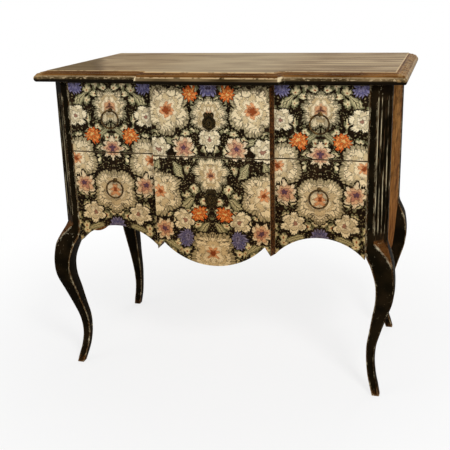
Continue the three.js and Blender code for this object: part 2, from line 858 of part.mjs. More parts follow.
function addDrawer(drawer) {
  const { name, floor, ceiling, keyholeZ, ringMiddleZ } = drawer;
  const group = new THREE.Group();
  carcass.add(group);
  const add = (pieceName, solid, material) => addPiece(group, pieceName, solid, material);

  const pivotZ = ringMiddleZ + ringRadius;
  const through = [-blockProjection - cutOverrun, behindFront];
  const keyway = keyhole(keyholeZ, through);
  const stemHoles = sides.map(([, side]) => stemHole(side * ringPlace, pivotZ, through));
  const front = facingFront(frontShapes[name], [0, frontThickness]);
  add(`drawer_${name}_front`, cutBy(front, [keyway, ...stemHoles]), printedWood);
  add(`drawer_${name}_block`, splayedBlock(blockShapes[name]).subtract(keyway), printedWood);

  const boxBottom = floor + drawerFloorClearance;
  const boxTop = ceiling - drawerTopClearance;
  const bottomUnder = boxBottom + drawerBottomRise;
  const bottomTop = bottomUnder + drawerBottomThickness;
  for (const [sideName, side] of sides) {
    const board = block(
      between(side * drawerInside, side * drawerHalfWidth),
      [behindFront, drawerBack],
      [boxBottom, boxTop],
    );
    const groove = block(
      between(side * (drawerInside - cutOverrun), side * (drawerInside + drawerGrooveDepth)),
      [behindFront - cutOverrun, drawerBack + cutOverrun],
      [bottomUnder - jointGap, bottomTop + jointGap],
    );
    add(`drawer_${name}_side_${sideName}`, board.subtract(groove), innerWood);
  }
  const bottom = block(
    both(drawerInside + drawerGrooveDepth - jointGap),
    [behindFront, drawerBack],
    [bottomUnder, bottomTop],
  );
  add(`drawer_${name}_bottom`, bottom, innerWood);
  const back = block(
    both(drawerInside - jointGap),
    [drawerBack - drawerSideThickness, drawerBack],
    [bottomTop + jointGap, boxTop - drawerBackDrop],
  );
  add(`drawer_${name}_back`, back, innerWood);

  add(`escutcheon_${name}`, escutcheon(keyholeZ), castMetal);
  add(`lock_case_${name}`, lockCase(drawer), lockIron);
  add(`lock_bolt_${name}`, lockBolt(drawer), lockIron);
  for (const [sideName, side] of sides) {
    const x = side * ringPlace;
    add(`ring_${name}_${sideName}`, ring(x, ringMiddleZ), agedBrass);
    add(`ring_eye_${name}_${sideName}`, eyePin(x, pivotZ), agedBrass);
    add(`ring_nut_${name}_${sideName}`, nut(x, pivotZ), lockIron);
  }
}

drawers.forEach(addDrawer);

export default commode;
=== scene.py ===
# %% [markdown]
# # Dressing a commode chest
# The piece is a two-drawer commode on cabriole legs. Its case is painted near-black and rubbed
# through at the edges, its top is worn to grey tan, and its drawer fronts carry a floral print.
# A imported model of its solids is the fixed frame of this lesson. Every new piece is placed from
# the boxes of that frame, so nothing has to be fitted by eye.

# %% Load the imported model
import json
import math

import bmesh
import bpy
from mathutils import Matrix, Vector
from mathutils.geometry import interpolate_bezier


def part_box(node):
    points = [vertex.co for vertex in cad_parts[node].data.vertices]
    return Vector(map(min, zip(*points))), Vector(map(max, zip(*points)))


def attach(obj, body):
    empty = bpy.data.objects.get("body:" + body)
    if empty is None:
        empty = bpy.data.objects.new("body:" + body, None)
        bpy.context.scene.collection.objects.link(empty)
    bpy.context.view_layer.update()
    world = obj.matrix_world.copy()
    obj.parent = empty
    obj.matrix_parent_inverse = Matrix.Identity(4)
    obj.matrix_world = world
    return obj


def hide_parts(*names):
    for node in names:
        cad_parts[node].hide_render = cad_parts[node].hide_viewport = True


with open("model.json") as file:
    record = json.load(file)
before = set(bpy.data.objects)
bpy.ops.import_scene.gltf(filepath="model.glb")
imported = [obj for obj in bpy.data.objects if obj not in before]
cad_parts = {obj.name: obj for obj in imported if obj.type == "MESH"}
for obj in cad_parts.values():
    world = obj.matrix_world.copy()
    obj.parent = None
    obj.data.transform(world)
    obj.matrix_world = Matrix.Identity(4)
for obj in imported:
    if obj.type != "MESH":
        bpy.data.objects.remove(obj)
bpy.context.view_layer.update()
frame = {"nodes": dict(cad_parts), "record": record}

mm = 1000    # shapes are in metres, and the finishes reckon in millimetres
body_names = {
    node: body
    for body, members in frame["record"]["behaviour"]["bodies"].items()
    for node in members
}

# %% [markdown]
# ## The camera
# The photograph looks down at the commode from its front right, with a slight roll. A camera could
# be aimed with a Track To constraint, but a constraint knows nothing of roll. Here the aim is
# three turns in a row: about the upright axis, down, and about the line of sight.

# %% Camera
camera_place = Vector((0.5831, -2.0972, 1.0737))
camera_turn = 0.2883
camera_dip = 0.3053
camera_roll = -0.0278
camera_lens = 61.86

camera = bpy.data.objects.new("camera", bpy.data.cameras.new("camera"))
camera.data.lens = camera_lens
camera.data.sensor_width = 36
camera.data.sensor_fit = "HORIZONTAL"
camera.matrix_world = (
    Matrix.Translation(camera_place)
    @ Matrix.Rotation(camera_turn, 4, "Z")
    @ Matrix.Rotation(math.pi / 2 - camera_dip, 4, "X")
    @ Matrix.Rotation(camera_roll, 4, "Z")
)
bpy.context.scene.collection.objects.link(camera)
bpy.context.scene.camera = camera
bpy.context.scene.view_settings.view_transform = "Standard"
print("camera", round(camera_place.length, 3), "m from the origin")

# %% [markdown]
# ## Shader maths as plain expressions
# A finish is a small program that runs at every point of a surface. Wiring it by hand hides the
# sums, so one class wraps a socket and lets Python's operators add the Math nodes. A second class
# holds the nodes of one material or world and makes every other node through a single method.

# %% A wrapped socket
class Signal:
    """One output of a shader node: a number, a colour or a place that changes over a surface."""

    def __init__(self, finish, socket):
        self.finish = finish
        self.socket = socket

    def beside(self, name):
        """Another output of the same node."""
        return Signal(self.finish, self.socket.node.outputs[name])

    def math(self, operation, *others):
        return self.finish.node("Math", {"operation": operation}, [self, *others])

    def __add__(self, other):
        return self.math("ADD", other)

    def __sub__(self, other):
        return self.math("SUBTRACT", other)

    def __rsub__(self, other):
        return self.finish.node("Math", {"operation": "SUBTRACT"}, [other, self])

    def __mul__(self, other):
        return self.math("MULTIPLY", other)

    def __truediv__(self, other):
        return self.math("DIVIDE", other)

    def __pow__(self, other):
        return self.math("POWER", other)

    def __abs__(self):
        return self.math("ABSOLUTE")

    def __gt__(self, other):
        return self.math("GREATER_THAN", other)

    def __lt__(self, other):
        return self.math("LESS_THAN", other)

    __radd__ = __add__
    __rmul__ = __mul__

    def rising(self, low, high):
        """0 below low, 1 above high, and a smooth step between them."""
        return self.finish.node(
            "MapRange", {"interpolation_type": "SMOOTHSTEP"}, [self, low, high, 0.0, 1.0]
        )

    def falling(self, low, high):
        return 1 - self.rising(low, high)

    def within(self, half, soft):
        """1 where the number is nearer to zero than half, with soft edges."""
        return abs(self).falling(half - soft, half + soft)


# %% The nodes of a material or a world
class Nodes:
    """A node tree and the shader at its end, with a method for each kind of step."""

    def __init__(self, tree, shader):
        self.tree = tree
        self.shader = tree.nodes[shader]

    def plug(self, socket, value):
        if isinstance(value, Signal):
            self.tree.links.new(value.socket, socket)
        else:
            socket.default_value = value

    def node(self, kind, settings=None, inputs=(), output=0):
        node = self.tree.nodes.new("ShaderNode" + kind)
        for name, value in (settings or {}).items():
            setattr(node, name, value)
        pairs = inputs.items() if isinstance(inputs, dict) else enumerate(inputs)
        for key, value in pairs:
            self.plug(node.inputs[key], value)
        return Signal(self, node.outputs[output])

    def feed(self, **sockets):
        for name, value in sockets.items():
            self.plug(self.shader.inputs[name.replace("_", " ")], value)

    def vector(self, operation, *inputs, output=0):
        return self.node("VectorMath", {"operation": operation}, list(inputs), output)

    def mix(self, under, over, mask):
        """One colour laid over another where the mask is 1."""
        return self.node("Mix", {"data_type": "RGBA"}, {0: mask, 6: under, 7: over}, 2)

    def split(self, vector):
        """The three numbers of a place, a normal or a colour."""
        first = self.node("SeparateXYZ", {}, [vector])
        return [first, first.beside("Y"), first.beside("Z")]

    def place(self):
        """Where a point of the piece is, in millimetres."""
        coordinates = self.node("TexCoord", output="Object")
        return self.node("VectorMath", {"operation": "SCALE"}, {0: coordinates, "Scale": mm})

    def noise(self, place, size, detail=3.0, roughness=0.5, distortion=0.0, stretch=None):
        """Soft clouds about size millimetres across, from 0 to 1. A small share in the stretch
        draws them out along that axis, into streaks."""
        if stretch:
            place = self.vector("MULTIPLY", place, stretch)
        return self.node("TexNoise", {}, {
            "Vector": place,
            "Scale": 1 / size,
            "Detail": detail,
            "Roughness": roughness,
            "Distortion": distortion,
        })

    def bump(self, height, strength, distance):
        """A surface normal tilted by a height; distance is the height of 1, in metres."""
        return self.node("Bump", {}, {
            "Strength": strength, "Distance": distance, "Height": height,
        })

    def edges(self, radius):
        """Above 0 near an edge of the shape, within a radius in metres."""
        rounded = self.node("Bevel", {"samples": 6}, {"Radius": radius})
        plain = self.node("NewGeometry", output="Normal")
        return 1 - self.vector("DOT_PRODUCT", rounded, plain, output="Value")


# %% A material in the making
class Finish(Nodes):
    """One material."""

    def __init__(self, name):
        self.material = bpy.data.materials.new(name)
        self.material.use_nodes = True
        super().__init__(self.material.node_tree, "Principled BSDF")


def paint(red, green, blue):
    """A colour as a painter reads it off a screen, 0 to 255, as the linear one shaders use."""
    def linear(value):
        share = value / 255
        return share / 12.92 if share <= 0.04045 else ((share + 0.055) / 1.055) ** 2.4
    return (linear(red), linear(green), linear(blue), 1.0)


# %% [markdown]
# ## Wood under old paint
# The case was painted near-black over a pale undercoat and then rubbed back by hand. The rubbing
# takes the paint off where a cloth or a hand meets an edge first. An edge can be found with the
# Bevel node, which compares the true normal with a rounded one, and noise breaks the line up.

# %% The fluted corner
front_gap = 0.001
stile_width = 0.052
cant_width = 0.031
flute_count = 4
flute_arris = 0.0018
flute_pitch = (cant_width * math.sqrt(2) - flute_arris) / flute_count
front_low, front_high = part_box("drawer_upper_front")
case_half_width = front_high.x + front_gap + stile_width
case_front = front_low.y
print("flutes every", round(flute_pitch * mm, 2), "mm")

# %% Black paint, rubbed through at the edges
undercoat = paint(206, 190, 152)
bare_brown = paint(96, 58, 24)

# Where the cant starts, and the heights of the flutes' ends and of the knee, in millimetres
cant_start = ((case_half_width - cant_width) * mm, case_front * mm)
cant_end = cant_width * mm
flutes_low, flutes_high = 439, 800
knee_middle = 392


def black_paint():
    finish = Finish("black_paint")
    place = finish.place()
    across, depth, height = finish.split(place)
    clouds = finish.noise(place, 60, 4)
    streaks = finish.noise(place, 3, 4, 0.6, stretch=(1, 1, 0.08))
    chips = finish.noise(place, 5, 5, 0.65, stretch=(1, 1, 0.3))
    breaks = finish.noise(place, 7, 5, 0.7, stretch=(0.6, 0.6, 0.09))
    flakes = finish.noise(place, 12, 6, 0.8, stretch=(1, 1, 0.6))
    color = finish.mix(paint(12, 8, 2), paint(34, 24, 11), clouds.rising(0.42, 0.68) * 0.7)

    # The arrises between the flutes, by how far across the canted corner a point is
    past_side = abs(across) - cant_start[0]
    cant_place = (past_side + depth - cant_start[1]) / math.sqrt(2)
    turns = (cant_place - flute_arris * mm / 2) / (flute_pitch * mm)
    from_arris = ((turns + 0.5).math("FRACT") - 0.5) * (flute_pitch * mm)
    on_cant = cant_place.rising(-1.6, -0.6)
    on_cant = on_cant * (depth - cant_start[1]).falling(cant_end, cant_end + 1)
    fluted = height.rising(flutes_low - 3, flutes_low + 3)
    fluted = fluted * height.falling(flutes_high - 4, flutes_high + 4) * on_cant
    scraped = finish.noise(place, 4, 6, 0.75, stretch=(0.4, 0.4, 0.03))
    arris = from_arris.within(1.0, 0.5) * fluted * scraped.rising(0.48, 0.58)
    arris = arris * height.rising(flutes_low + 13, flutes_low + 23)
    color = finish.mix(color, paint(92, 66, 40), streaks.rising(0.54, 0.68) * fluted * 0.55)

    # Elsewhere paint is lost at the long edges: brown in a broad band, undercoat in a narrow one.
    # Some stretches are handled more than others, and there it flakes off in patches.
    broad, narrow = finish.edges(0.010), finish.edges(0.0034)
    handled = finish.noise(place, 85, 2).rising(0.42, 0.6)
    knee = (height - knee_middle).within(44, 40)
    foot = height.falling(8, 40)
    outer = depth.falling(-210, -190) * past_side.rising(-8, -1)
    bow = (height - (knee_middle + 12)).within(24, 9) * outer
    normal_x, normal_y, _ = finish.split(finish.node("NewGeometry", output="Normal"))
    diagonal = abs(normal_x * normal_y).rising(0.1, 0.2)
    diagonal = diagonal * (height - (knee_middle + 22)).within(36, 12) * outer
    warm = broad * 4.5 + chips * 1.1 + knee * 0.2 + foot * 0.5
    warm = warm + diagonal * (flakes * 2.4 - 0.65)
    color = finish.mix(color, bare_brown, warm.rising(0.94, 1.35) * (1 - fluted) * 0.85)

    # The undercoat shows in rubbed lines, in flakes and specks, and on the flutes' arrises
    bow_wear = broad * bow * (2 + cant_place.falling(20, 26) * 15) * flakes.rising(0.38, 0.5)
    rubbed = narrow * (0.7 + handled * 1.8 + knee * 2) + bow_wear + breaks * 1.6
    flaked = (broad * 2.4 + flakes * 2.4 + knee * 0.05).rising(1.58, 1.64)
    specks = finish.noise(place, 3.2, 2).rising(0.735, 0.76) * handled
    rubbed = rubbed.rising(1.12, 1.24).math("MAXIMUM", flaked.math("MAXIMUM", specks))
    worn = (rubbed * (1 - fluted)).math("MAXIMUM", arris)
    pale = (flakes + bow * 0.2 + fluted * 0.14).rising(0.46, 0.56)
    under = finish.mix(paint(150, 118, 78), undercoat, pale)
    under = finish.mix(under, paint(244, 230, 194), bow * 0.85)
    color = finish.mix(color, under, worn * 0.88)
    finish.feed(
        Base_Color=color,
        Roughness=0.55 + clouds * 0.14 + worn * 0.25,
        Specular_IOR_Level=0.015,
        Normal=finish.bump(streaks * 0.5 - worn * 0.6, 0.5, 0.0005),
    )
    return finish


# %% [markdown]
# ## The worn top
# The top's face has bleached to grey tan. Its moulding keeps a red-brown slope and a greyed nose,
# and hands have rubbed pale lines along the edges. Each step could have a material of its own, but
# one finish that reads how far below the face a point lies keeps the grain unbroken.

# %% The top's sizes
moulding_width = 0.0276
break_half_width = 0.187
break_depth = 0.026
return_splay = 0.008
top_low, top_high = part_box("top_panel")

# Where the flat field ends: beside the middle, at the sides, and at the front of the wings
field_edge = (
    (break_half_width + return_splay / 2) * mm,
    (top_high.x - moulding_width) * mm,
    (top_low.y + break_depth + moulding_width) * mm,
)
print("field half width", round(field_edge[1], 1), "mm")


# %% The worn top
def worn_top():
    """Grey tan wood. The drop below the top's face tells field, slope, lip and nose apart."""
    finish = Finish("worn_top_wood")
    place = finish.place()
    across, depth, height = finish.split(place)
    drop = top_high.z * mm - height
    in_break = abs(across) < field_edge[0]
    past_front = field_edge[2] - in_break * (break_depth * mm) - depth
    past_edge = (abs(across) - field_edge[1]).math("MAXIMUM", past_front)
    grain = finish.noise(place, 5, 4, 0.6, 0.3, stretch=(0.012, 1, 1))
    bands = finish.noise(place, 24, 3, 0.55, 0.5, stretch=(0.012, 1, 1))
    patches = finish.noise(place, 70, 4, stretch=(0.5, 1, 1))
    pores = finish.noise(place, 2.0, 5, 0.7, stretch=(0.008, 1, 1))
    broken = finish.noise(place, 14, 5, 0.65)

    bleached = (grain * 0.6 + bands * 0.7).rising(0.52, 0.76)
    field = finish.mix(paint(118, 92, 60), paint(190, 166, 128), bleached)
    browned = (patches * 0.8 + bands * 0.4).rising(0.56, 0.76)
    field = finish.mix(field, paint(108, 80, 46), browned * 0.6)
    darkened = (grain * 0.6 + bands * 0.4).falling(0.4, 0.47)
    field = finish.mix(field, paint(64, 44, 22), darkened * 0.65)
    field = finish.mix(field, paint(70, 50, 28), pores.rising(0.52, 0.66) * 0.45)
    field = finish.mix(field, paint(206, 186, 150), pores.falling(0.36, 0.44) * 0.4)

    # Painted reflections: dark olive with a dark rim over the left end, pale over the middle
    dark_reflection_place = across + depth * 0.49 + patches * 60
    field = finish.mix(field, paint(90, 69, 28), dark_reflection_place.falling(-396, -352) * 0.8)
    field = finish.mix(field, paint(70, 48, 24), (dark_reflection_place + 378).within(14, 12) * 0.35)
    field = finish.mix(field, paint(206, 192, 162), (across - 10).within(150, 90) * 0.24)

    # The moulding: a red-brown slope, then a greyed nose that is dark underneath
    golden = (patches * 0.5 + grain * 0.5).rising(0.44, 0.6)
    slope = finish.mix(paint(70, 38, 9), paint(124, 84, 42), golden)
    greyed = (patches * 0.5 + bands * 0.5).rising(0.42, 0.6)
    nose = finish.mix(paint(58, 45, 24), paint(130, 108, 76), greyed)
    nose = finish.mix(nose, paint(20, 14, 6), drop.rising(17, 21.5))
    color = finish.mix(field, slope, drop.rising(0.9, 1.4))
    color = finish.mix(color, nose, drop.rising(10.2, 11.0))

    # Pale lines where hands rub: the lip over the nose, the field's rim, and just below that rim
    lip = (drop - 12.0).within(1.4, 0.7) * (0.4 + in_break * 0.6)
    rim = past_edge.rising(-2.4, -1.6) * drop.falling(1.0, 1.5) * (0.7 + in_break * 0.3)
    gilded = in_break * drop.rising(0.9, 1.3) * drop.falling(1.9, 2.6)
    color = finish.mix(color, paint(190, 162, 120), lip * broken.rising(0.36, 0.5))
    color = finish.mix(color, paint(214, 186, 142), rim * broken.rising(0.34, 0.5))
    color = finish.mix(color, paint(190, 150, 98), gilded * broken.rising(0.36, 0.48) * 0.8)

    # Chips in the nose of the wings, and a knock at each corner of the breakfront
    above_underside = drop.falling(18, 20)
    chips = finish.noise(place, 4.5, 4, 0.7, stretch=(0.4, 1, 1))
    chipped = chips.rising(0.54, 0.6) * drop.rising(11.5, 12.5) * above_underside
    color = finish.mix(color, paint(196, 172, 132), chipped * (1 - in_break) * 0.75)
    knock = (abs(across) - (break_half_width * mm - 1)).within(3.5, 1.5)
    knock = knock * depth.falling(-240, -234) * drop.rising(8, 10) * above_underside
    color = finish.mix(color, paint(224, 204, 162), knock * broken.rising(0.34, 0.42) * 0.9)

    # The ends are handled more than the front, so their moulding is rubbed to golden wood
    ends = abs(across).rising(455, 466) * drop.rising(1.5, 3.0) * drop.falling(19, 22)
    color = finish.mix(color, paint(162, 130, 84), ends * broken.rising(0.4, 0.56) * 0.75)
    edge = finish.edges(0.0016)
    rubbed = (edge * 3 + broken).rising(0.78, 0.95) * drop.rising(1.5, 2.5)
    color = finish.mix(color, undercoat, rubbed * 0.7)
    finish.feed(
        Base_Color=color,
        Roughness=0.52 - drop.rising(9, 11) * 0.12 + grain * 0.1,
        Specular_IOR_Level=0.02,
        Normal=finish.bump(grain, 0.35, 0.0006),
    )
    return finish


# %% [markdown]
# ## Bare and waxed wood
# The side panels are red-brown wood with an upright grain under dark wax, and the rails, runners
# and drawer sides are plain softwood. Planks could be photographed and mapped on, but noise drawn
# out along one axis makes a grain that never repeats and has no seams to hide.

# %% Side panels and the wood inside
def side_wood():
    finish = Finish("side_wood")
    place = finish.place()
    height = finish.split(place)[2]
    grain = finish.noise(place, 3, 5, 0.65, 0.3, stretch=(1, 1, 0.035))
    figure = finish.noise(place, 24, 4, 0.6, 1.4, stretch=(1, 1, 0.12))
    pores = finish.noise(place, 1.6, 4, 0.7, stretch=(1, 1, 0.02))
    light = (figure * 0.9 + grain * 0.3).rising(0.5, 0.68)
    color = finish.mix(paint(96, 52, 18), paint(180, 130, 70), light)
    color = finish.mix(color, paint(126, 68, 26), height.falling(420, 760) * 0.5)
    dark = (grain * 0.7 + figure * 0.3).falling(0.41, 0.5)
    color = finish.mix(color, paint(66, 34, 12), dark * 0.4)
    color = finish.mix(color, paint(60, 32, 12), pores.rising(0.5, 0.66) * 0.5)

    # Dark wax left in long smears, deeper than they are high
    wax = finish.noise(place, 30, 5, 0.65, stretch=(1, 0.2, 1))
    color = finish.mix(color, paint(56, 30, 12), wax.rising(0.48, 0.63) * 0.62)
    edge = finish.edges(0.002)
    color = finish.mix(color, undercoat, (edge * 4 + grain).rising(0.9, 1.2) * 0.5)
    finish.feed(
        Base_Color=color,
        Roughness=0.72 + grain * 0.15,
        Specular_IOR_Level=0.004,
        Normal=finish.bump(grain, 0.4, 0.0006),
    )
    return finish


def inner_wood(name, along):
    """Plain softwood whose grain runs along one axis: 0, 1 or 2."""
    finish = Finish(name)
    place = finish.place()
    fine, finest = [1.0, 1.0, 1.0], [1.0, 1.0, 1.0]
    fine[along], finest[along] = 0.02, 0.012
    grain = finish.noise(place, 3.5, 4, 0.6, stretch=fine)
    rings = finish.noise(place, 18, 2, 0.5, 1.5, stretch=fine)
    pores = finish.noise(place, 1.4, 4, 0.7, stretch=finest)
    dust = finish.noise(place, 120, 3)
    color = finish.mix(paint(168, 130, 84), paint(200, 166, 116), rings.rising(0.4, 0.6))
    color = finish.mix(color, paint(138, 100, 60), grain.falling(0.36, 0.48) * 0.6)
    color = finish.mix(color, paint(112, 80, 46), pores.rising(0.5, 0.68) * 0.5)
    color = finish.mix(color, paint(104, 82, 58), dust.rising(0.5, 0.75) * 0.45)
    finish.feed(
        Base_Color=color,
        Roughness=0.72 + grain * 0.1,
        Specular_IOR_Level=0.1,
        Normal=finish.bump(pores, 0.3, 0.0004),
    )
    return finish


# %% [markdown]
# ## Old metal
# The pulls are brass that has gone dark, bright only where hands rub it. The escutcheons are cast
# and nearly black, with an olive bloom and worn high points. Both are metals, so the wear shows as
# a change of roughness as much as of colour.

# %% Brass, cast metal and iron
def aged_brass():
    finish = Finish("aged_brass")
    patina = finish.noise(finish.place(), 7, 4, 0.6)
    color = finish.mix(paint(46, 32, 14), paint(104, 78, 38), patina.rising(0.42, 0.66))
    rubbed = (finish.edges(0.0008) * 5 + patina * 0.6).rising(0.62, 1.0)
    finish.feed(
        Base_Color=finish.mix(color, paint(150, 120, 66), rubbed * 0.5),
        Metallic=0.85,
        Roughness=0.36 + patina * 0.25,
        Normal=finish.bump(patina, 0.3, 0.0003),
    )
    return finish


def cast_metal():
    finish = Finish("cast_metal")
    bloom = finish.noise(finish.place(), 5, 4, 0.6)
    color = finish.mix(paint(15, 10, 4), paint(50, 37, 17), bloom.rising(0.45, 0.68))
    rubbed = (finish.edges(0.0009) * 4 + bloom * 0.5).rising(0.66, 1.0)
    finish.feed(
        Base_Color=finish.mix(color, paint(166, 136, 78), rubbed * 0.65),
        Metallic=0.75,
        Roughness=0.42 + bloom * 0.25,
        Specular_IOR_Level=0.1,
        Normal=finish.bump(bloom, 0.3, 0.0003),
    )
    return finish


def lock_iron():
    finish = Finish("lock_iron")
    rust = finish.noise(finish.place(), 6, 5, 0.65)
    color = finish.mix(paint(86, 82, 76), paint(96, 60, 38), rust.rising(0.52, 0.7) * 0.7)
    finish.feed(Base_Color=color, Metallic=0.8, Roughness=0.45 + rust * 0.3)
    return finish


# %% [markdown]
# ## The floral print
# Each of the three upright sections of the front carries flowers on a near-black ground, mirrored
# about the section's own middle line. The print could be an image, but a drawing made of sums
# stays sharp at any distance. Folding the coordinates mirrors a section, and the distance to the
# nearest of a few chosen centres draws one kind of flower many times with one set of nodes.

# %% Where the sections of the front lie
block_low, block_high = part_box("drawer_upper_block")
wing_start = block_high.x * mm
wing_end = front_high.x * mm
wing_middle = (wing_start + wing_end) / 2
wing_offset = 1000.0
print("wing middle", round(wing_middle, 1), "mm from the middle line")

# %% Where the flowers stand
# Across from the section's middle line, up from the floor, and turn. The wings' centres are
# moved aside by the wing offset, so that one list serves all three sections.
middle = 0.0
wing = wing_offset
medallions = [
    (middle + 112, 766, 0.2), (middle + 142, 548, 0.1), (middle + 0, 384, 0.5),
    (wing + 0, 540, 0.5), (wing + 110, 626, 0.3),
]
rosettes = [(middle + 0, 602, 0.5), (middle + 0, 752, 0.5), (wing + 0, 768, 0.5)]
cream_roses = [
    (middle + 0, 690, 0.4), (middle + 140, 664, 0.1), (middle + 74, 476, 0.7),
    (wing + 100, 742, 0.2), (wing + 66, 478, 0.5),
]
peonies = [
    (middle + 70, 668, 0.9), (middle + 134, 448, 0.3), (wing + 0, 656, 0.0), (wing + 88, 556, 0.8),
]
carnations = [(middle + 50, 806, 0.6), (middle + 34, 494, 0.4), (wing + 56, 690, 0.3)]
asters = [
    (middle + 0, 824, 0.2), (middle + 72, 424, 0.9), (wing + 98, 822, 0.1), (wing + 0, 440, 0.4),
]
leaves = [
    (middle + 30, 716, 2.3), (middle + 106, 684, 2.8), (middle + 66, 522, 0.7),
    (middle + 92, 612, 2.1), (middle + 26, 446, 1.1), (middle + 112, 404, 2.4),
    (middle + 40, 786, 2.0), (wing + 26, 700, 0.6), (wing + 66, 612, 2.4),
    (wing + 84, 786, 0.9), (wing + 40, 500, 2.6), (wing + 62, 436, 0.3),
    (middle + 152, 812, 2.0), (middle + 150, 612, 1.2),
]
flowers = medallions + rosettes + cream_roses + peonies + carnations + asters
print(len(flowers), "flowers and", len(leaves), "leaves before mirroring")

# %% Helpers that draw
def nearest(finish, place, centres):
    """The step from the nearest centre to the place. Its third number is the centre's turn."""
    best_step = best_reach = None
    for across, up, turn in centres:
        step = finish.vector("SUBTRACT", place, (across, up, -turn))
        reach = finish.vector("LENGTH", step, output="Value")
        if best_step is None:
            best_step, best_reach = step, reach
            continue
        choice = {0: reach < best_reach, 4: best_step, 5: step}
        best_step = finish.node("Mix", {"data_type": "VECTOR"}, choice, 1)
        best_reach = reach.math("MINIMUM", best_reach)
    return best_step


def polar(finish, step):
    """How far a step reaches, its angle, and its third number."""
    across, up, third = finish.split(step)
    return (across * across + up * up).math("SQRT"), up.math("ARCTAN2", across), third


def lobes(angle, count, depth, offset=0.0):
    """1 at the tip of each petal, less the depth in the gaps between them."""
    return 1 - depth + depth * abs((angle * (count / 2) + offset).math("COSINE"))


# %% Flowers as rings of petals
line_ink = paint(40, 28, 16)
feather_grey = paint(84, 80, 62)
ground_black = paint(15, 8, 2)


def flower(
    finish, color, centres, radius, rings,
    hatch_count, hatch=line_ink, engraved=0.0, fringe=1.5, gap=3.0,
):
    """One kind of flower at all its places. A ring is a share of the radius, how many petals it
    has, how deep the gaps between them are, its turn, and its colour, from the outermost in."""
    reach, angle, turned = polar(finish, nearest(finish, finish.drawing, centres))
    angle = angle + turned
    strokes = (angle * hatch_count).math("SINE").rising(-0.2, 0.8)
    wobble = finish.ragged * (radius * 0.16) + strokes * fringe
    for index, (share, petals, depth, turn, shade) in enumerate(rings):
        size = radius * share
        edge = reach - lobes(angle, petals, depth, turn) * size + wobble
        if index == 0:
            color = finish.mix(color, ground_black, edge.falling(gap, gap + 1.5))
        inside = edge.falling(-0.5, 0.5)
        strength, reach_in = (0.75, 0.18) if index == 0 else (0.4, 0.24)
        hatching = strokes * edge.rising(-reach_in * size, 0.0) * strength
        toned = finish.mix(shade, hatch, hatching)
        if engraved and index < 2:
            toned = finish.mix(toned, line_ink, finish.engraving * engraved)
        color = finish.mix(color, toned, inside)
        color = finish.mix(color, line_ink, (edge + 0.6).within(0.8, 0.5) * 0.72)
    return color


# %% The ground of the print
def voronoi(finish, size, settings, output):
    return finish.node("TexVoronoi", {"voronoi_dimensions": "2D"}, {
        "Vector": finish.drawing, "Scale": 1 / size, **settings,
    }, output)


def printed_ground(finish, place):
    """Near-black, with specks and small blossoms too fine to place by hand."""
    clouds = finish.noise(place, 12, 3).rising(0.4, 0.7)
    color = finish.mix(ground_black, paint(36, 23, 10), clouds)
    specks = voronoi(finish, 7.5, {}, "Distance")
    color = finish.mix(color, paint(150, 138, 100), specks.falling(0.14, 0.2) * 0.8)

    cells = voronoi(finish, 27, {"Randomness": 0.75}, "Position")
    reach, angle, _ = polar(finish, finish.vector("SUBTRACT", finish.drawing, cells))
    chance, spin, _ = finish.split(cells.beside("Color"))
    angle = angle + spin * 6.0
    shown = chance > 0.25
    sprig = reach - lobes(angle, 4, 0.8, 0.7) * 14
    color = finish.mix(color, paint(112, 110, 78), sprig.falling(-0.4, 0.4) * shown * 0.85)
    petals = reach - lobes(angle, 5, 0.5) * 10 + finish.ragged * 2.0
    pale = finish.mix(paint(184, 168, 122), paint(230, 214, 168), chance)
    pale = finish.mix(pale, line_ink, (petals + 1.4).within(0.6, 0.4) * 0.6)
    pale = finish.mix(pale, paint(150, 86, 52), reach.falling(2.0, 2.8))
    return finish.mix(color, pale, petals.falling(-0.4, 0.4) * shown)


# %% Ribbed leaves
leaf_half_length, leaf_half_width = 29, 10.5


def ribbed_leaves(finish, color):
    reach, angle, turned = polar(finish, nearest(finish, finish.drawing, leaves))
    angle = angle + turned
    along = reach * angle.math("COSINE")
    aside = abs(reach * angle.math("SINE"))
    blade = aside - leaf_half_width * (1 - (along / leaf_half_length) ** 2.0) + finish.ragged * 2.0
    leaf = finish.mix(paint(196, 184, 138), paint(132, 128, 92), (aside / 9).rising(0.1, 0.9))
    rib = (along / 5.6 - aside / 6.0).math("FRACT") - 0.5
    leaf = finish.mix(leaf, line_ink, rib.within(0.13, 0.08) * 0.7)
    leaf = finish.mix(leaf, line_ink, aside.falling(0.5, 1.1))
    leaf = finish.mix(leaf, line_ink, (blade + 0.9).within(0.8, 0.5) * 0.7)
    return finish.mix(color, leaf, blade.falling(-0.4, 0.4))


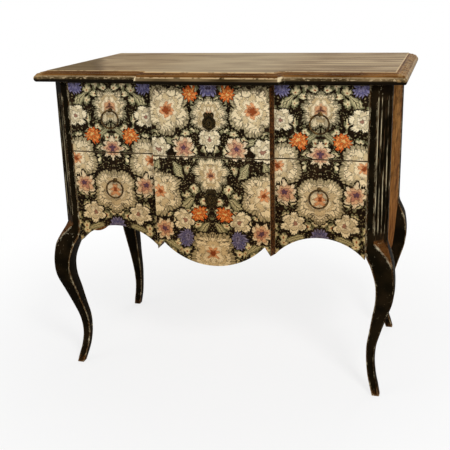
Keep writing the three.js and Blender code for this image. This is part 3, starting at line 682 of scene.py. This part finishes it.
# %% The flowers, from the greatest to the smallest
def all_flowers(finish, color):
    color = flower(finish, color, medallions, 68, [
        (1.0, 5, 0.22, 0.0, paint(172, 156, 118)), (0.84, 5, 0.24, 0.0, paint(229, 209, 168)),
        (0.62, 7, 0.30, 0.4, paint(206, 182, 138)), (0.46, 5, 0.30, 0.2, paint(232, 212, 172)),
        (0.30, 7, 0.40, 0.8, paint(218, 152, 102)), (0.15, 5, 0.30, 0.0, paint(140, 66, 32)),
    ], hatch_count=44, hatch=feather_grey, engraved=0.8, fringe=2.6, gap=4.0)
    color = flower(finish, color, rosettes, 52, [
        (1.0, 9, 0.20, 0.0, paint(150, 140, 108)), (0.86, 9, 0.22, 0.0, paint(228, 208, 166)),
        (0.64, 8, 0.26, 0.4, paint(194, 168, 122)), (0.50, 8, 0.30, 0.0, paint(232, 212, 172)),
        (0.32, 6, 0.36, 0.6, paint(206, 152, 108)), (0.16, 6, 0.30, 0.0, paint(96, 58, 50)),
    ], hatch_count=54, hatch=feather_grey, engraved=0.7, fringe=3.2, gap=5.0)
    color = flower(finish, color, cream_roses, 33, [
        (1.0, 6, 0.30, 0.0, paint(234, 218, 180)), (0.74, 7, 0.26, 0.5, paint(206, 188, 150)),
        (0.50, 5, 0.34, 0.2, paint(234, 218, 182)), (0.26, 6, 0.30, 0.9, paint(156, 112, 92)),
    ], hatch_count=32)
    color = flower(finish, color, peonies, 33, [
        (1.0, 8, 0.34, 0.3, paint(224, 202, 164)), (0.78, 7, 0.30, 0.0, paint(212, 168, 128)),
        (0.52, 6, 0.34, 0.6, paint(178, 122, 98)), (0.28, 5, 0.40, 0.0, paint(92, 62, 76)),
    ], hatch_count=34)
    color = flower(finish, color, asters, 25, [
        (1.0, 15, 0.36, 0.0, paint(116, 110, 146)), (0.74, 11, 0.36, 0.5, paint(76, 74, 116)),
        (0.46, 9, 0.36, 0.2, paint(126, 120, 152)), (0.20, 5, 0.3, 0.0, paint(50, 42, 62)),
    ], hatch_count=30, hatch=paint(190, 182, 178), fringe=3.0, gap=1.5)
    color = flower(finish, color, carnations, 24, [
        (1.0, 9, 0.38, 0.2, paint(210, 96, 38)), (0.78, 7, 0.34, 0.0, paint(232, 152, 80)),
        (0.54, 7, 0.38, 0.6, paint(208, 94, 36)), (0.30, 5, 0.4, 0.1, paint(238, 188, 112)),
    ], hatch_count=26, hatch=paint(104, 36, 12), fringe=3.0, gap=1.5)
    return color


# %% The printed fronts
def printed_wood():
    finish = Finish("printed_wood")
    place = finish.place()
    across, _, up = finish.split(place)

    # Fold each section about its middle line, and sway the drawing as a hand does
    in_wing = abs(across) > wing_start
    folded = abs(abs(across) - in_wing * wing_middle)
    flat = finish.node("CombineXYZ", {}, [folded + in_wing * wing_offset, up, 0.0])
    sway = finish.vector("SUBTRACT", finish.noise(flat, 30, 2.0).beside("Color"), (0.5, 0.5, 0.5))
    finish.drawing = finish.vector("MULTIPLY_ADD", sway, (26.0, 26.0, 0.0), flat)
    finish.ragged = finish.noise(flat, 7, 3, 0.6) - 0.5
    swirl = (finish.noise(flat, 34, 2.0) * 7.0).math("FRACT") - 0.5
    finish.engraving = swirl.within(0.09, 0.06)
    color = all_flowers(finish, ribbed_leaves(finish, printed_ground(finish, place)))

    # A stipple over everything, as a print on cloth has
    stipple = finish.noise(place, 2.2, 2, 0.6)
    color = finish.mix(color, paint(70, 52, 32), stipple.rising(0.53, 0.64) * 0.28)

    # Darker and warmer low down; rubbed edges show, and all but the front is bare brown
    color = finish.node("Mix", {"data_type": "RGBA", "blend_type": "MULTIPLY"}, {
        0: up.falling(430, 700) * 0.75, 6: color, 7: paint(232, 208, 172),
    }, 2)
    grime = finish.noise(place, 40, 4)
    color = finish.mix(color, paint(60, 42, 24), grime.rising(0.52, 0.8) * 0.35)
    broken = finish.noise(place, 6, 4, 0.6)
    backwards = finish.split(finish.node("NewGeometry", output="True Normal"))[1]
    bare = finish.mix(paint(40, 24, 12), paint(96, 58, 26), broken.rising(0.42, 0.62))
    color = finish.mix(color, bare, backwards.rising(-0.75, -0.5))
    edge = finish.edges(0.0022)
    color = finish.mix(color, paint(222, 200, 152), (edge * 3 + broken).rising(0.78, 0.95) * 0.8)
    finish.feed(
        Base_Color=color,
        Roughness=0.46 + grime * 0.2,
        Specular_IOR_Level=0.025,
        Normal=finish.bump(broken, 0.25, 0.0004),
    )
    return finish


# %% [markdown]
# ## Dressing the frame's solids
# Rails, runners, drawer sides and locks are right as they are. They could be modelled again with
# softer edges, but they hardly show, so they only get a finish. The record names a finish for each
# solid. Those that show most are dressed too, and give way to finer pieces further down.

# %% Make the finishes
finishes = {
    "black_paint": black_paint(),
    "worn_top_wood": worn_top(),
    "side_wood": side_wood(),
    "printed_wood": printed_wood(),
    "aged_brass": aged_brass(),
    "cast_metal": cast_metal(),
    "lock_iron": lock_iron(),
}
wood_across = inner_wood("inner_wood_across", 0)
wood_deep = inner_wood("inner_wood_deep", 1)
print("print uses", len(finishes["printed_wood"].tree.nodes), "nodes")

# %% Dress the solids that keep their own shape
deep_grained = ("side_rail", "runner", "side_left", "side_right", "dust_panel")
for part in frame["record"]["subparts"]:
    node, slot = part["node"], part["material_slot"]
    if slot == "inner_wood":
        finish = wood_deep if any(word in node for word in deep_grained) else wood_across
    else:
        finish = finishes[slot]
    solid = frame["nodes"][node]
    solid.data.materials.clear()
    solid.data.materials.append(finish.material)

# %% [markdown]
# ## Tools for new pieces
# A new piece is drawn as a bmesh, turned into an object at the origin, given its finish, and made
# to ride on the same body as the solid it stands for. Edges are marked sharp by their angle, so
# that round parts shade smoothly and corners stay crisp.

# %% From a bmesh to a piece
smooth_limit = math.radians(32)


def make_piece(name, shape, slot, *nodes):
    """An object from a bmesh that stands for some of the frame's solids."""
    for face in shape.faces:
        face.smooth = True
    for edge in shape.edges:
        edge.smooth = len(edge.link_faces) == 2 and edge.calc_face_angle() < smooth_limit
    mesh = bpy.data.meshes.new(name)
    shape.to_mesh(mesh)
    shape.free()
    piece = bpy.data.objects.new(name, mesh)
    bpy.context.scene.collection.objects.link(piece)
    mesh.materials.append(finishes[slot].material)
    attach(piece, body_names[nodes[0]])
    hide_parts(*nodes)
    return piece


# %% Copies of the frame's solids, and softened edges
weld = 0.00001
flat_limit = math.radians(0.5)


def merged_copy(node):
    """One of the frame's solids, its loose triangles merged back to flat faces."""
    shape = bmesh.new()
    shape.from_mesh(frame["nodes"][node].data)
    bmesh.ops.remove_doubles(shape, verts=shape.verts, dist=weld)
    bmesh.ops.dissolve_limit(
        shape, angle_limit=flat_limit, verts=shape.verts, edges=shape.edges, delimit=set()
    )
    return shape


def sharp_edges(shape, limit, shortest=0.0):
    return [
        edge for edge in shape.edges
        if len(edge.link_faces) == 2
        and edge.calc_face_angle() > limit
        and edge.calc_length() > shortest
    ]


def soften(shape, edges, radius):
    """Round some edges over, as sandpaper does."""
    bmesh.ops.bevel(
        shape, geom=edges, offset=radius, offset_type="OFFSET", segments=2,
        profile=0.5, affect="EDGES", material=-1, clamp_overlap=True,
    )


# %% [markdown]
# ## Boards with softened edges
# The drawer fronts, their middle blocks and the side panels have the right outline already, but a
# real board's edges are never knife-sharp. Each is a copy of the frame's solid. Its loose
# triangles are welded and merged back to flat faces, and then its long edges are rounded.

# %% Fronts, blocks and side panels
corner_limit = math.radians(38)
shortest_edge = 0.004
front_radius, side_radius = 0.0009, 0.0012


def softened_board(node, name, slot, radius):
    shape = merged_copy(node)
    soften(shape, sharp_edges(shape, corner_limit, shortest_edge), radius)
    return make_piece(name, shape, slot, node)


for drawer in ("upper", "lower"):
    for part in ("front", "block"):
        node = f"drawer_{drawer}_{part}"
        softened_board(node, f"printed_{part}_{drawer}", "printed_wood", front_radius)
for side in ("left", "right"):
    softened_board(f"side_panel_{side}", f"side_board_{side}", "side_wood", side_radius)
print("boards softened")

# %% [markdown]
# ## The moulded top
# The top is one board with a moulding planed round its front and sides: a rounded nose, a quirk,
# an ovolo, and a shallow slope up to the flat field. The moulding could be swept along the edge as
# a curve, but its mitres would then need cutting. Insetting the board's own outline step by step,
# a little inwards and a little up, turns every corner with a true mitre. The outline is drawn too
# deep at the back and sawn off square, because the back edge has no moulding.

# %% The top's plan and profile
top_thickness = top_high.z - top_low.z
side_nose = top_low.y + break_depth
behind_the_saw = top_high.y + 3 * moulding_width

right_plan = [
    (break_half_width, top_low.y),
    (break_half_width + return_splay, side_nose),
    (top_high.x, side_nose),
    (top_high.x, behind_the_saw),
]
top_plan = right_plan + [(-x, y) for x, y in reversed(right_plan)]


def quarter(middle, radii, start, end, steps):
    """Part of an oval, as shares of the moulding's width inwards and of the thickness down."""
    turns = [math.radians(start + (end - start) * step / steps) for step in range(steps + 1)]
    return [
        (middle[0] - radii[0] * math.cos(turn), middle[1] - radii[1] * math.sin(turn))
        for turn in turns
    ]


nose_level = 0.68
under_shares = quarter((0.23, nose_level), (0.23, -0.32), 0, 90, 8)
over_shares = [
    *quarter((0.23, nose_level), (0.23, 0.32), 0, 60, 7),
    (0.145, 0.385), (0.165, 0.37),
    *quarter((0.5, 0.37), (0.33, 0.185), 8, 88, 8),
    (0.515, 0.13), (0.53, 0.12), (0.74, 0.105), (0.92, 0.06), (0.965, 0.045), (0.99, 0.008),
    (1, 0),
]
print("moulding of", len(under_shares) + len(over_shares) - 2, "steps")


def run_moulding(shape, shares, up):
    level = top_high.z - nose_level * top_thickness
    corners = [shape.verts.new((x, y, level)) for x, y in top_plan]
    face = shape.faces.new(corners if up > 0 else reversed(corners))
    face.normal_update()
    for (inside, down), (next_inside, next_down) in zip(shares, shares[1:]):
        bmesh.ops.inset_region(
            shape, faces=[face], thickness=(next_inside - inside) * moulding_width,
            depth=up * (down - next_down) * top_thickness, use_even_offset=True,
            use_boundary=True,
        )


# %% The top board
top_shape = bmesh.new()
run_moulding(top_shape, over_shares, 1)
run_moulding(top_shape, under_shares, -1)
bmesh.ops.remove_doubles(top_shape, verts=top_shape.verts, dist=weld)
bmesh.ops.bisect_plane(
    top_shape, geom=[*top_shape.verts, *top_shape.edges, *top_shape.faces],
    plane_co=(0, top_high.y, 0), plane_no=(0, 1, 0), clear_outer=True,
)
bmesh.ops.holes_fill(top_shape, edges=top_shape.edges)
bmesh.ops.recalc_face_normals(top_shape, faces=top_shape.faces)
top_board = make_piece("top_board", top_shape, "worn_top_wood", "top_panel")
print("top board:", len(top_board.data.polygons), "faces")

# %% [markdown]
# ## Cabriole legs
# A leg is sawn from one square length: a straight stile above, and below it an S-curve that bows
# out at the knee and back in to the foot. The front stiles are canted at the corner and fluted.
# The leg is a stack of sections, each a square with its outer corner cut off. One section is
# extruded into the next, and the long edges are then rounded over as a spokeshave leaves them.

# %% The leg's sizes
knee_reach = 0.025
knee_height = 0.432
arris_width = 0.002
facet_length = 0.066
overhang_back = 0.026
case_back = top_high.y - overhang_back
leg_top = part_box("leg_front_right")[1].z

# Height, the outer corner's reach past the stile, and thickness, as shares of the sizes above
leg_shares = [
    (0, -0.16, 0.385), (0.058, -0.4, 0.413), (0.127, -0.7, 0.413), (0.22, -0.88, 0.419),
    (0.324, -0.73, 0.49), (0.428, -0.28, 0.577), (0.544, 0.31, 0.715), (0.66, 0.9, 0.846),
    (0.764, 1, 0.915), (0.861, 0.8, 1.06), (0.898, 0.63, 1.138), (0.93, 0.42, 1.163),
    (0.972, 0.12, 1.063), (1, 0, 1),
]
leg_knots = [
    Vector((reach * knee_reach, thickness * stile_width, rise * knee_height))
    for rise, reach, thickness in leg_shares
]
print("legs", round(leg_top * mm), "mm long, drawn through", len(leg_knots), "knots")


# %% Sections of a leg
def smooth_through(knots, steps):
    """Points on a smooth curve through the knots."""
    points = []
    for index in range(len(knots) - 1):
        before = knots[max(index - 1, 0)]
        start, end = knots[index], knots[index + 1]
        after = knots[min(index + 2, len(knots) - 1)]
        points += interpolate_bezier(
            start, start + (end - before) / 6, end - (after - start) / 6, end, steps + 1
        )[:-1]
    return [*points, knots[-1]]


def leg_section(reach, thickness, cant):
    inner = max(reach - thickness, -stile_width)
    return [
        (inner, inner), (reach, inner), (reach, reach - cant),
        (reach - cant, reach), (inner, reach),
    ]


def section_corners(point, cant, side, end):
    base_y = case_front if end < 0 else case_back
    return [
        Vector((side * (case_half_width + out), base_y + end * along, point.z))
        for out, along in leg_section(point.x, point.y, cant)
    ]


# %% Flutes
flute_base_band = 0.026
flute_top_band = 0.040
flute_sides = 28
flute_radius = (flute_pitch - flute_arris) / 2
print("flutes", round(flute_radius * 2 * mm, 1), "mm wide")


def flute_cutter(side):
    """Round-ended rods side by side on the cant, for cutting the flutes."""
    bottom = knee_height + flute_base_band + flute_radius
    top = top_low.z - flute_top_band - flute_radius
    shape = bmesh.new()
    for flute in range(flute_count):
        across = (flute_arris / 2 + (flute + 0.5) * flute_pitch) / math.sqrt(2)
        x = side * (case_half_width - cant_width + across)
        ball = bmesh.ops.create_uvsphere(
            shape, u_segments=flute_sides, v_segments=flute_sides // 2, radius=flute_radius
        )["verts"]
        upper = [vert for vert in ball if vert.co.z > flute_radius * 0.01]
        bmesh.ops.translate(shape, verts=upper, vec=(0, 0, top - bottom))
        bmesh.ops.translate(shape, verts=ball, vec=(x, case_front + across, bottom))
    return shape


def spare_object(name, shape):
    mesh = bpy.data.meshes.new(name)
    shape.to_mesh(mesh)
    shape.free()
    spare = bpy.data.objects.new(name, mesh)
    bpy.context.scene.collection.objects.link(spare)
    return spare


def cut_away(shape, cutting_shape):
    """The first shape less the second one."""
    blank = spare_object("uncut", shape)
    cutter = spare_object("cutter", cutting_shape)
    cut = blank.modifiers.new("cut", "BOOLEAN")
    cut.operation = "DIFFERENCE"
    cut.object = cutter
    cut.solver = "EXACT"
    graph = bpy.context.evaluated_depsgraph_get()
    rest = bmesh.new()
    rest.from_mesh(blank.evaluated_get(graph).to_mesh())
    bpy.data.objects.remove(blank)
    bpy.data.objects.remove(cutter)
    return rest


# %% Loft the four legs
leg_arris_limit = math.radians(25)
leg_arris_radius = 0.0009


def leg_shape(side, end):
    cant = cant_width if end < 0 else arris_width
    points = smooth_through(leg_knots, 6)
    points.append(Vector((0, stile_width, leg_top)))
    shape = bmesh.new()
    face = foot = None
    for point in points:
        rise = min(max((point.z - knee_height + facet_length) / facet_length, 0), 1)
        corners = section_corners(point, arris_width + (cant - arris_width) * rise ** 2, side, end)
        if face is None:
            face = foot = shape.faces.new([shape.verts.new(corner) for corner in corners])
        else:
            below = face
            grown = bmesh.ops.extrude_face_region(shape, geom=[below])["geom"]
            face = next(item for item in grown if isinstance(item, bmesh.types.BMFace))
            if below is not foot:
                bmesh.ops.delete(shape, geom=[below], context="FACES_ONLY")
            for vert in face.verts:
                index = min(range(len(last)), key=lambda i: (last[i] - vert.co).length)
                vert.co = corners[index]
        last = corners
    bmesh.ops.recalc_face_normals(shape, faces=shape.faces)
    soften(shape, sharp_edges(shape, leg_arris_limit), leg_arris_radius)
    return shape


for side_name, side in (("left", -1), ("right", 1)):
    for end_name, end in (("front", -1), ("back", 1)):
        shape = leg_shape(side, end)
        if end_name == "front":
            shape = cut_away(shape, flute_cutter(side))
        name = f"cabriole_{end_name}_{side_name}"
        leg = make_piece(name, shape, "black_paint", f"leg_{end_name}_{side_name}")
        print(name, len(leg.data.polygons), "faces")

# %% [markdown]
# ## Ring pulls
# Each pull is a ring of round brass wire that hangs in an eye. A torus primitive would do, but
# spinning a small circle round an axis shows what a ring is, and the same step makes the eye and
# the turned rose under it. Sizes are read from the boxes of the solids that the pieces stand for.

# %% Wire rings and turned forms
x_axis, y_axis, z_axis = Vector((1, 0, 0)), Vector((0, 1, 0)), Vector((0, 0, 1))


def spin_ring(shape, middle, axis, radius, wire_radius, steps, sides, flatness=1.0):
    """A ring of wire about an axis. Flatness is the wire's depth along it as a share of width."""
    wire = bmesh.ops.create_circle(shape, radius=wire_radius, segments=sides)["verts"]
    bmesh.ops.scale(shape, verts=wire, vec=(1, flatness, 1))
    out = axis.cross(z_axis)
    basis = Matrix((out, axis, z_axis)).transposed().to_4x4()
    bmesh.ops.transform(shape, matrix=basis, verts=wire)
    bmesh.ops.translate(shape, verts=wire, vec=middle + out * radius)
    edges = dict.fromkeys(edge for vert in wire for edge in vert.link_edges)
    bmesh.ops.spin(
        shape, geom=[*wire, *edges], cent=middle, axis=axis, angle=math.tau, steps=steps,
        use_merge=True,
    )


def turn_form(shape, middle, profile, steps=28):
    """A round form about a line from front to back: pairs of a radius and a y."""
    chain = [shape.verts.new((middle.x + radius, y, middle.z)) for radius, y in profile]
    edges = [shape.edges.new(pair) for pair in zip(chain, chain[1:])]
    bmesh.ops.spin(
        shape, geom=[*chain, *edges], cent=middle, axis=y_axis, angle=math.tau, steps=steps,
        use_merge=True,
    )


# %% Rings, eyes and roses
stem_radius = 0.0022
rose_radius = 0.006
eye_tube_radius = 0.0016
ring_swell = 1.18    # a hanging ring's wire is a little wider than it is deep
hinge_places = {
    joint["child"]: Vector(joint["pos_m"])
    for joint in frame["record"]["behaviour"]["joints"] if joint["type"] == "hinge"
}


def rose_profile(eye_back, wood, nut_end):
    """The stem from the eye through the wood to its nut, and the rose that lies on the wood."""
    return [
        (0, eye_back - 0.0006),
        (stem_radius * 0.9, eye_back),
        (stem_radius * 0.75, wood - 0.0036),
        (stem_radius * 1.2, wood - 0.0026),
        (stem_radius * 1.7, wood - 0.0020),
        (rose_radius * 0.84, wood - 0.0017),
        (rose_radius * 0.96, wood - 0.0012),
        (rose_radius, wood - 0.0003),
        (stem_radius, wood - 0.0003),
        (stem_radius, nut_end - 0.0006),
        (stem_radius * 0.7, nut_end),
        (0, nut_end),
    ]


for drawer in ("upper", "lower"):
    for side_name in ("left", "right"):
        place_name = f"{drawer}_{side_name}"
        ring_node, eye_node = f"ring_{place_name}", f"ring_eye_{place_name}"
        pivot = hinge_places[body_names[ring_node]]
        low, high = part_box(f"ring_{drawer}_{side_name}")
        middle = (low + high) / 2
        wire_radius = (high.y - low.y) / 2
        ring_radius = pivot.z - middle.z
        shape = bmesh.new()
        spin_ring(
            shape, middle, y_axis, ring_radius, wire_radius * ring_swell, 72, 16, 1 / ring_swell
        )
        bmesh.ops.recalc_face_normals(shape, faces=shape.faces)
        make_piece(f"pull_{place_name}", shape, "aged_brass", ring_node)

        eye_low, eye_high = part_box(f"ring_eye_{drawer}_{side_name}")
        eye_radius = pivot.y - eye_low.y - eye_tube_radius
        shape = bmesh.new()
        spin_ring(shape, pivot, x_axis, eye_radius, eye_tube_radius, 36, 12)
        turn_form(shape, pivot, rose_profile(pivot.y + eye_radius, front_low.y, eye_high.y))
        bmesh.ops.remove_doubles(shape, verts=shape.verts, dist=weld)
        bmesh.ops.recalc_face_normals(shape, faces=shape.faces)
        make_piece(f"eye_{place_name}", shape, "aged_brass", eye_node)
ring_sizes = [round(size * mm, 2) for size in (ring_radius, wire_radius, eye_radius)]
print("ring radius, wire and eye:", ring_sizes)

# %% [markdown]
# ## Escutcheons
# A cast plate guards each keyhole. Its outline and holes are in the solid already, so a merged
# copy is the plate, and the relief is laid on it: a beaded collar, scrolls round the two eyes, and
# leaves of a few fat lobes. Lobes are flattened balls sunk halfway into the plate, which is how
# low relief reads after casting, and far lighter than sculpting.

# %% Relief on the escutcheons
relief_height = 0.0015
collar_relief = 0.0014    # how far the solid's collar stands before its plate
scroll_place = (0.00828, 0.018)
scroll_radius, scroll_wire = 0.0031, 0.0009
bead_count = 22
bead_oval = (0.0084, 0.0102)
bead_drop = 0.003
bead_size, bead_height = 0.0019, 0.0010


def lobe(shape, x, y, z, turn, length, width, height=relief_height):
    """A flattened ball that lies on a plate facing the front; turn is in degrees from +X."""
    ball = bmesh.ops.create_uvsphere(shape, u_segments=14, v_segments=8, radius=1)["verts"]
    bmesh.ops.scale(shape, verts=ball, vec=(length / 2, height, width / 2))
    bmesh.ops.rotate(
        shape, verts=ball, cent=(0, 0, 0), matrix=Matrix.Rotation(-math.radians(turn), 3, "Y")
    )
    bmesh.ops.translate(shape, verts=ball, vec=(x, y, z))


# Each leaf or bud in millimetres from the keyhole: out, up, turn, length and width. The first
# list is the right half, which is mirrored, and the second stands on the middle line.
relief_lobes = [
    (4.5, 21.5, 60, 7, 3.2), (8.5, 23.2, 20, 6, 2.8), (12.6, 19.5, -50, 6, 2.8),
    (10.5, 11.5, -70, 6.5, 3.0), (13.8, 6.0, -60, 7.5, 3.4), (15.8, 0.6, -85, 7, 3.2),
    (14.6, -5.6, -110, 7, 3.2), (14.0, -11.0, -75, 5.5, 3.0), (9.8, -13.6, -150, 7, 3.2),
    (6.2, -17.0, -120, 7, 3.0), (2.6, -20.6, -100, 6.5, 2.8), (3.2, 16.2, 80, 6, 2.6),
    (5.6, -12.4, -60, 5, 2.2), (11.0, -8.2, -40, 5, 2.2), (11.2, 1.8, 70, 6, 2.2),
]
middle_lobes = [(0, 20.5, 90, 8.5, 3.4), (0, -22.5, 90, 4.5, 3.0)]


def escutcheon_relief(shape, face_y, keyhole_z):
    def leaf(out, up, turn, length, width):
        lobe(shape, out / mm, face_y, keyhole_z + up / mm, turn, length / mm, width / mm)

    for side in (-1, 1):
        for out, up, turn, length, width in relief_lobes:
            leaf(side * out, up, turn if side > 0 else 180 - turn, length, width)
        eye = Vector((side * scroll_place[0], face_y - 0.0002, keyhole_z + scroll_place[1]))
        spin_ring(shape, eye, y_axis, scroll_radius, scroll_wire, 28, 10)
    for values in middle_lobes:
        leaf(*values)
    for bead in range(bead_count):
        turn = math.tau * bead / bead_count
        x = bead_oval[0] * math.cos(turn)
        z = keyhole_z - bead_drop + bead_oval[1] * math.sin(turn)
        lobe(shape, x, face_y, z, 0, bead_size, bead_size, bead_height)


for drawer in ("upper", "lower"):
    node = f"escutcheon_{drawer}"
    low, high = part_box(node)
    shape = merged_copy(node)
    escutcheon_relief(shape, low.y + collar_relief, (low.z + high.z) / 2)
    make_piece(f"cast_plate_{drawer}", shape, "cast_metal", node)
print("escutcheons:", len(relief_lobes) * 2 + len(middle_lobes), "lobes each")

# %% [markdown]
# ## The studio
# A plain pale floor, a pale world that only the camera and gloss see as white, and three large
# soft lamps: the key from the upper right, where the rings' shadows say the light came from.

# %% The floor
def seen_directly(finish):
    """1 for what the camera, a gloss or a glass shows, 0 for light that falls on the object."""
    seen = 0.0
    for ray in ("Is Camera Ray", "Is Glossy Ray", "Is Transmission Ray"):
        seen = finish.node("LightPath", output=ray).math("MAXIMUM", seen)
    return seen


floor_finish = Finish("floor")
floor_finish.feed(Base_Color=(0.86, 0.86, 0.86, 1.0), Roughness=0.9, Specular_IOR_Level=0.1)
distance = floor_finish.vector("LENGTH", floor_finish.place(), output="Value") / mm
white = floor_finish.node("Emission", {}, {"Strength": 1.0})
faded = floor_finish.node("MixShader", {}, {
    0: seen_directly(floor_finish) * (0.75 + 0.25 * distance.rising(0.4, 1.5)),
    1: Signal(floor_finish, floor_finish.shader.outputs[0]), 2: white,
})
floor_finish.plug(floor_finish.tree.nodes["Material Output"].inputs[0], faded)

floor_shape = bmesh.new()
bmesh.ops.create_grid(floor_shape, x_segments=1, y_segments=1, size=60)
floor_mesh = bpy.data.meshes.new("floor")
floor_shape.to_mesh(floor_mesh)
floor_shape.free()
floor_mesh.materials.append(floor_finish.material)
floor = bpy.data.objects.new("floor", floor_mesh)
bpy.context.scene.collection.objects.link(floor)
print("floor laid")

# %% The world
ambient = 0.42
world = bpy.data.worlds.new("studio")
world.use_nodes = True
bpy.context.scene.world = world
sky = Nodes(world.node_tree, "Background")
level = sky.node("MapRange", {}, {"Value": seen_directly(sky), "To Min": ambient})
sky.feed(Color=(1.0, 1.0, 1.0, 1.0), Strength=level)
print("the world lights at", ambient)

# %% Lamps
aim = Vector((0.0, -0.1, 0.5))


def soft_lamp(name, place, power, size):
    lamp = bpy.data.objects.new(name, bpy.data.lights.new(name, "AREA"))
    lamp.data.energy = power
    lamp.data.size = size
    turn = (aim - Vector(place)).to_track_quat("-Z", "Y").to_matrix().to_4x4()
    lamp.matrix_world = Matrix.Translation(place) @ turn
    bpy.context.scene.collection.objects.link(lamp)


soft_lamp("key", (1.9, -2.7, 2.9), 82, 0.9)
soft_lamp("fill", (-2.6, -2.4, 1.7), 22, 2.2)
soft_lamp("back", (0.6, 2.6, 2.6), 26, 2.2)
print("three lamps")
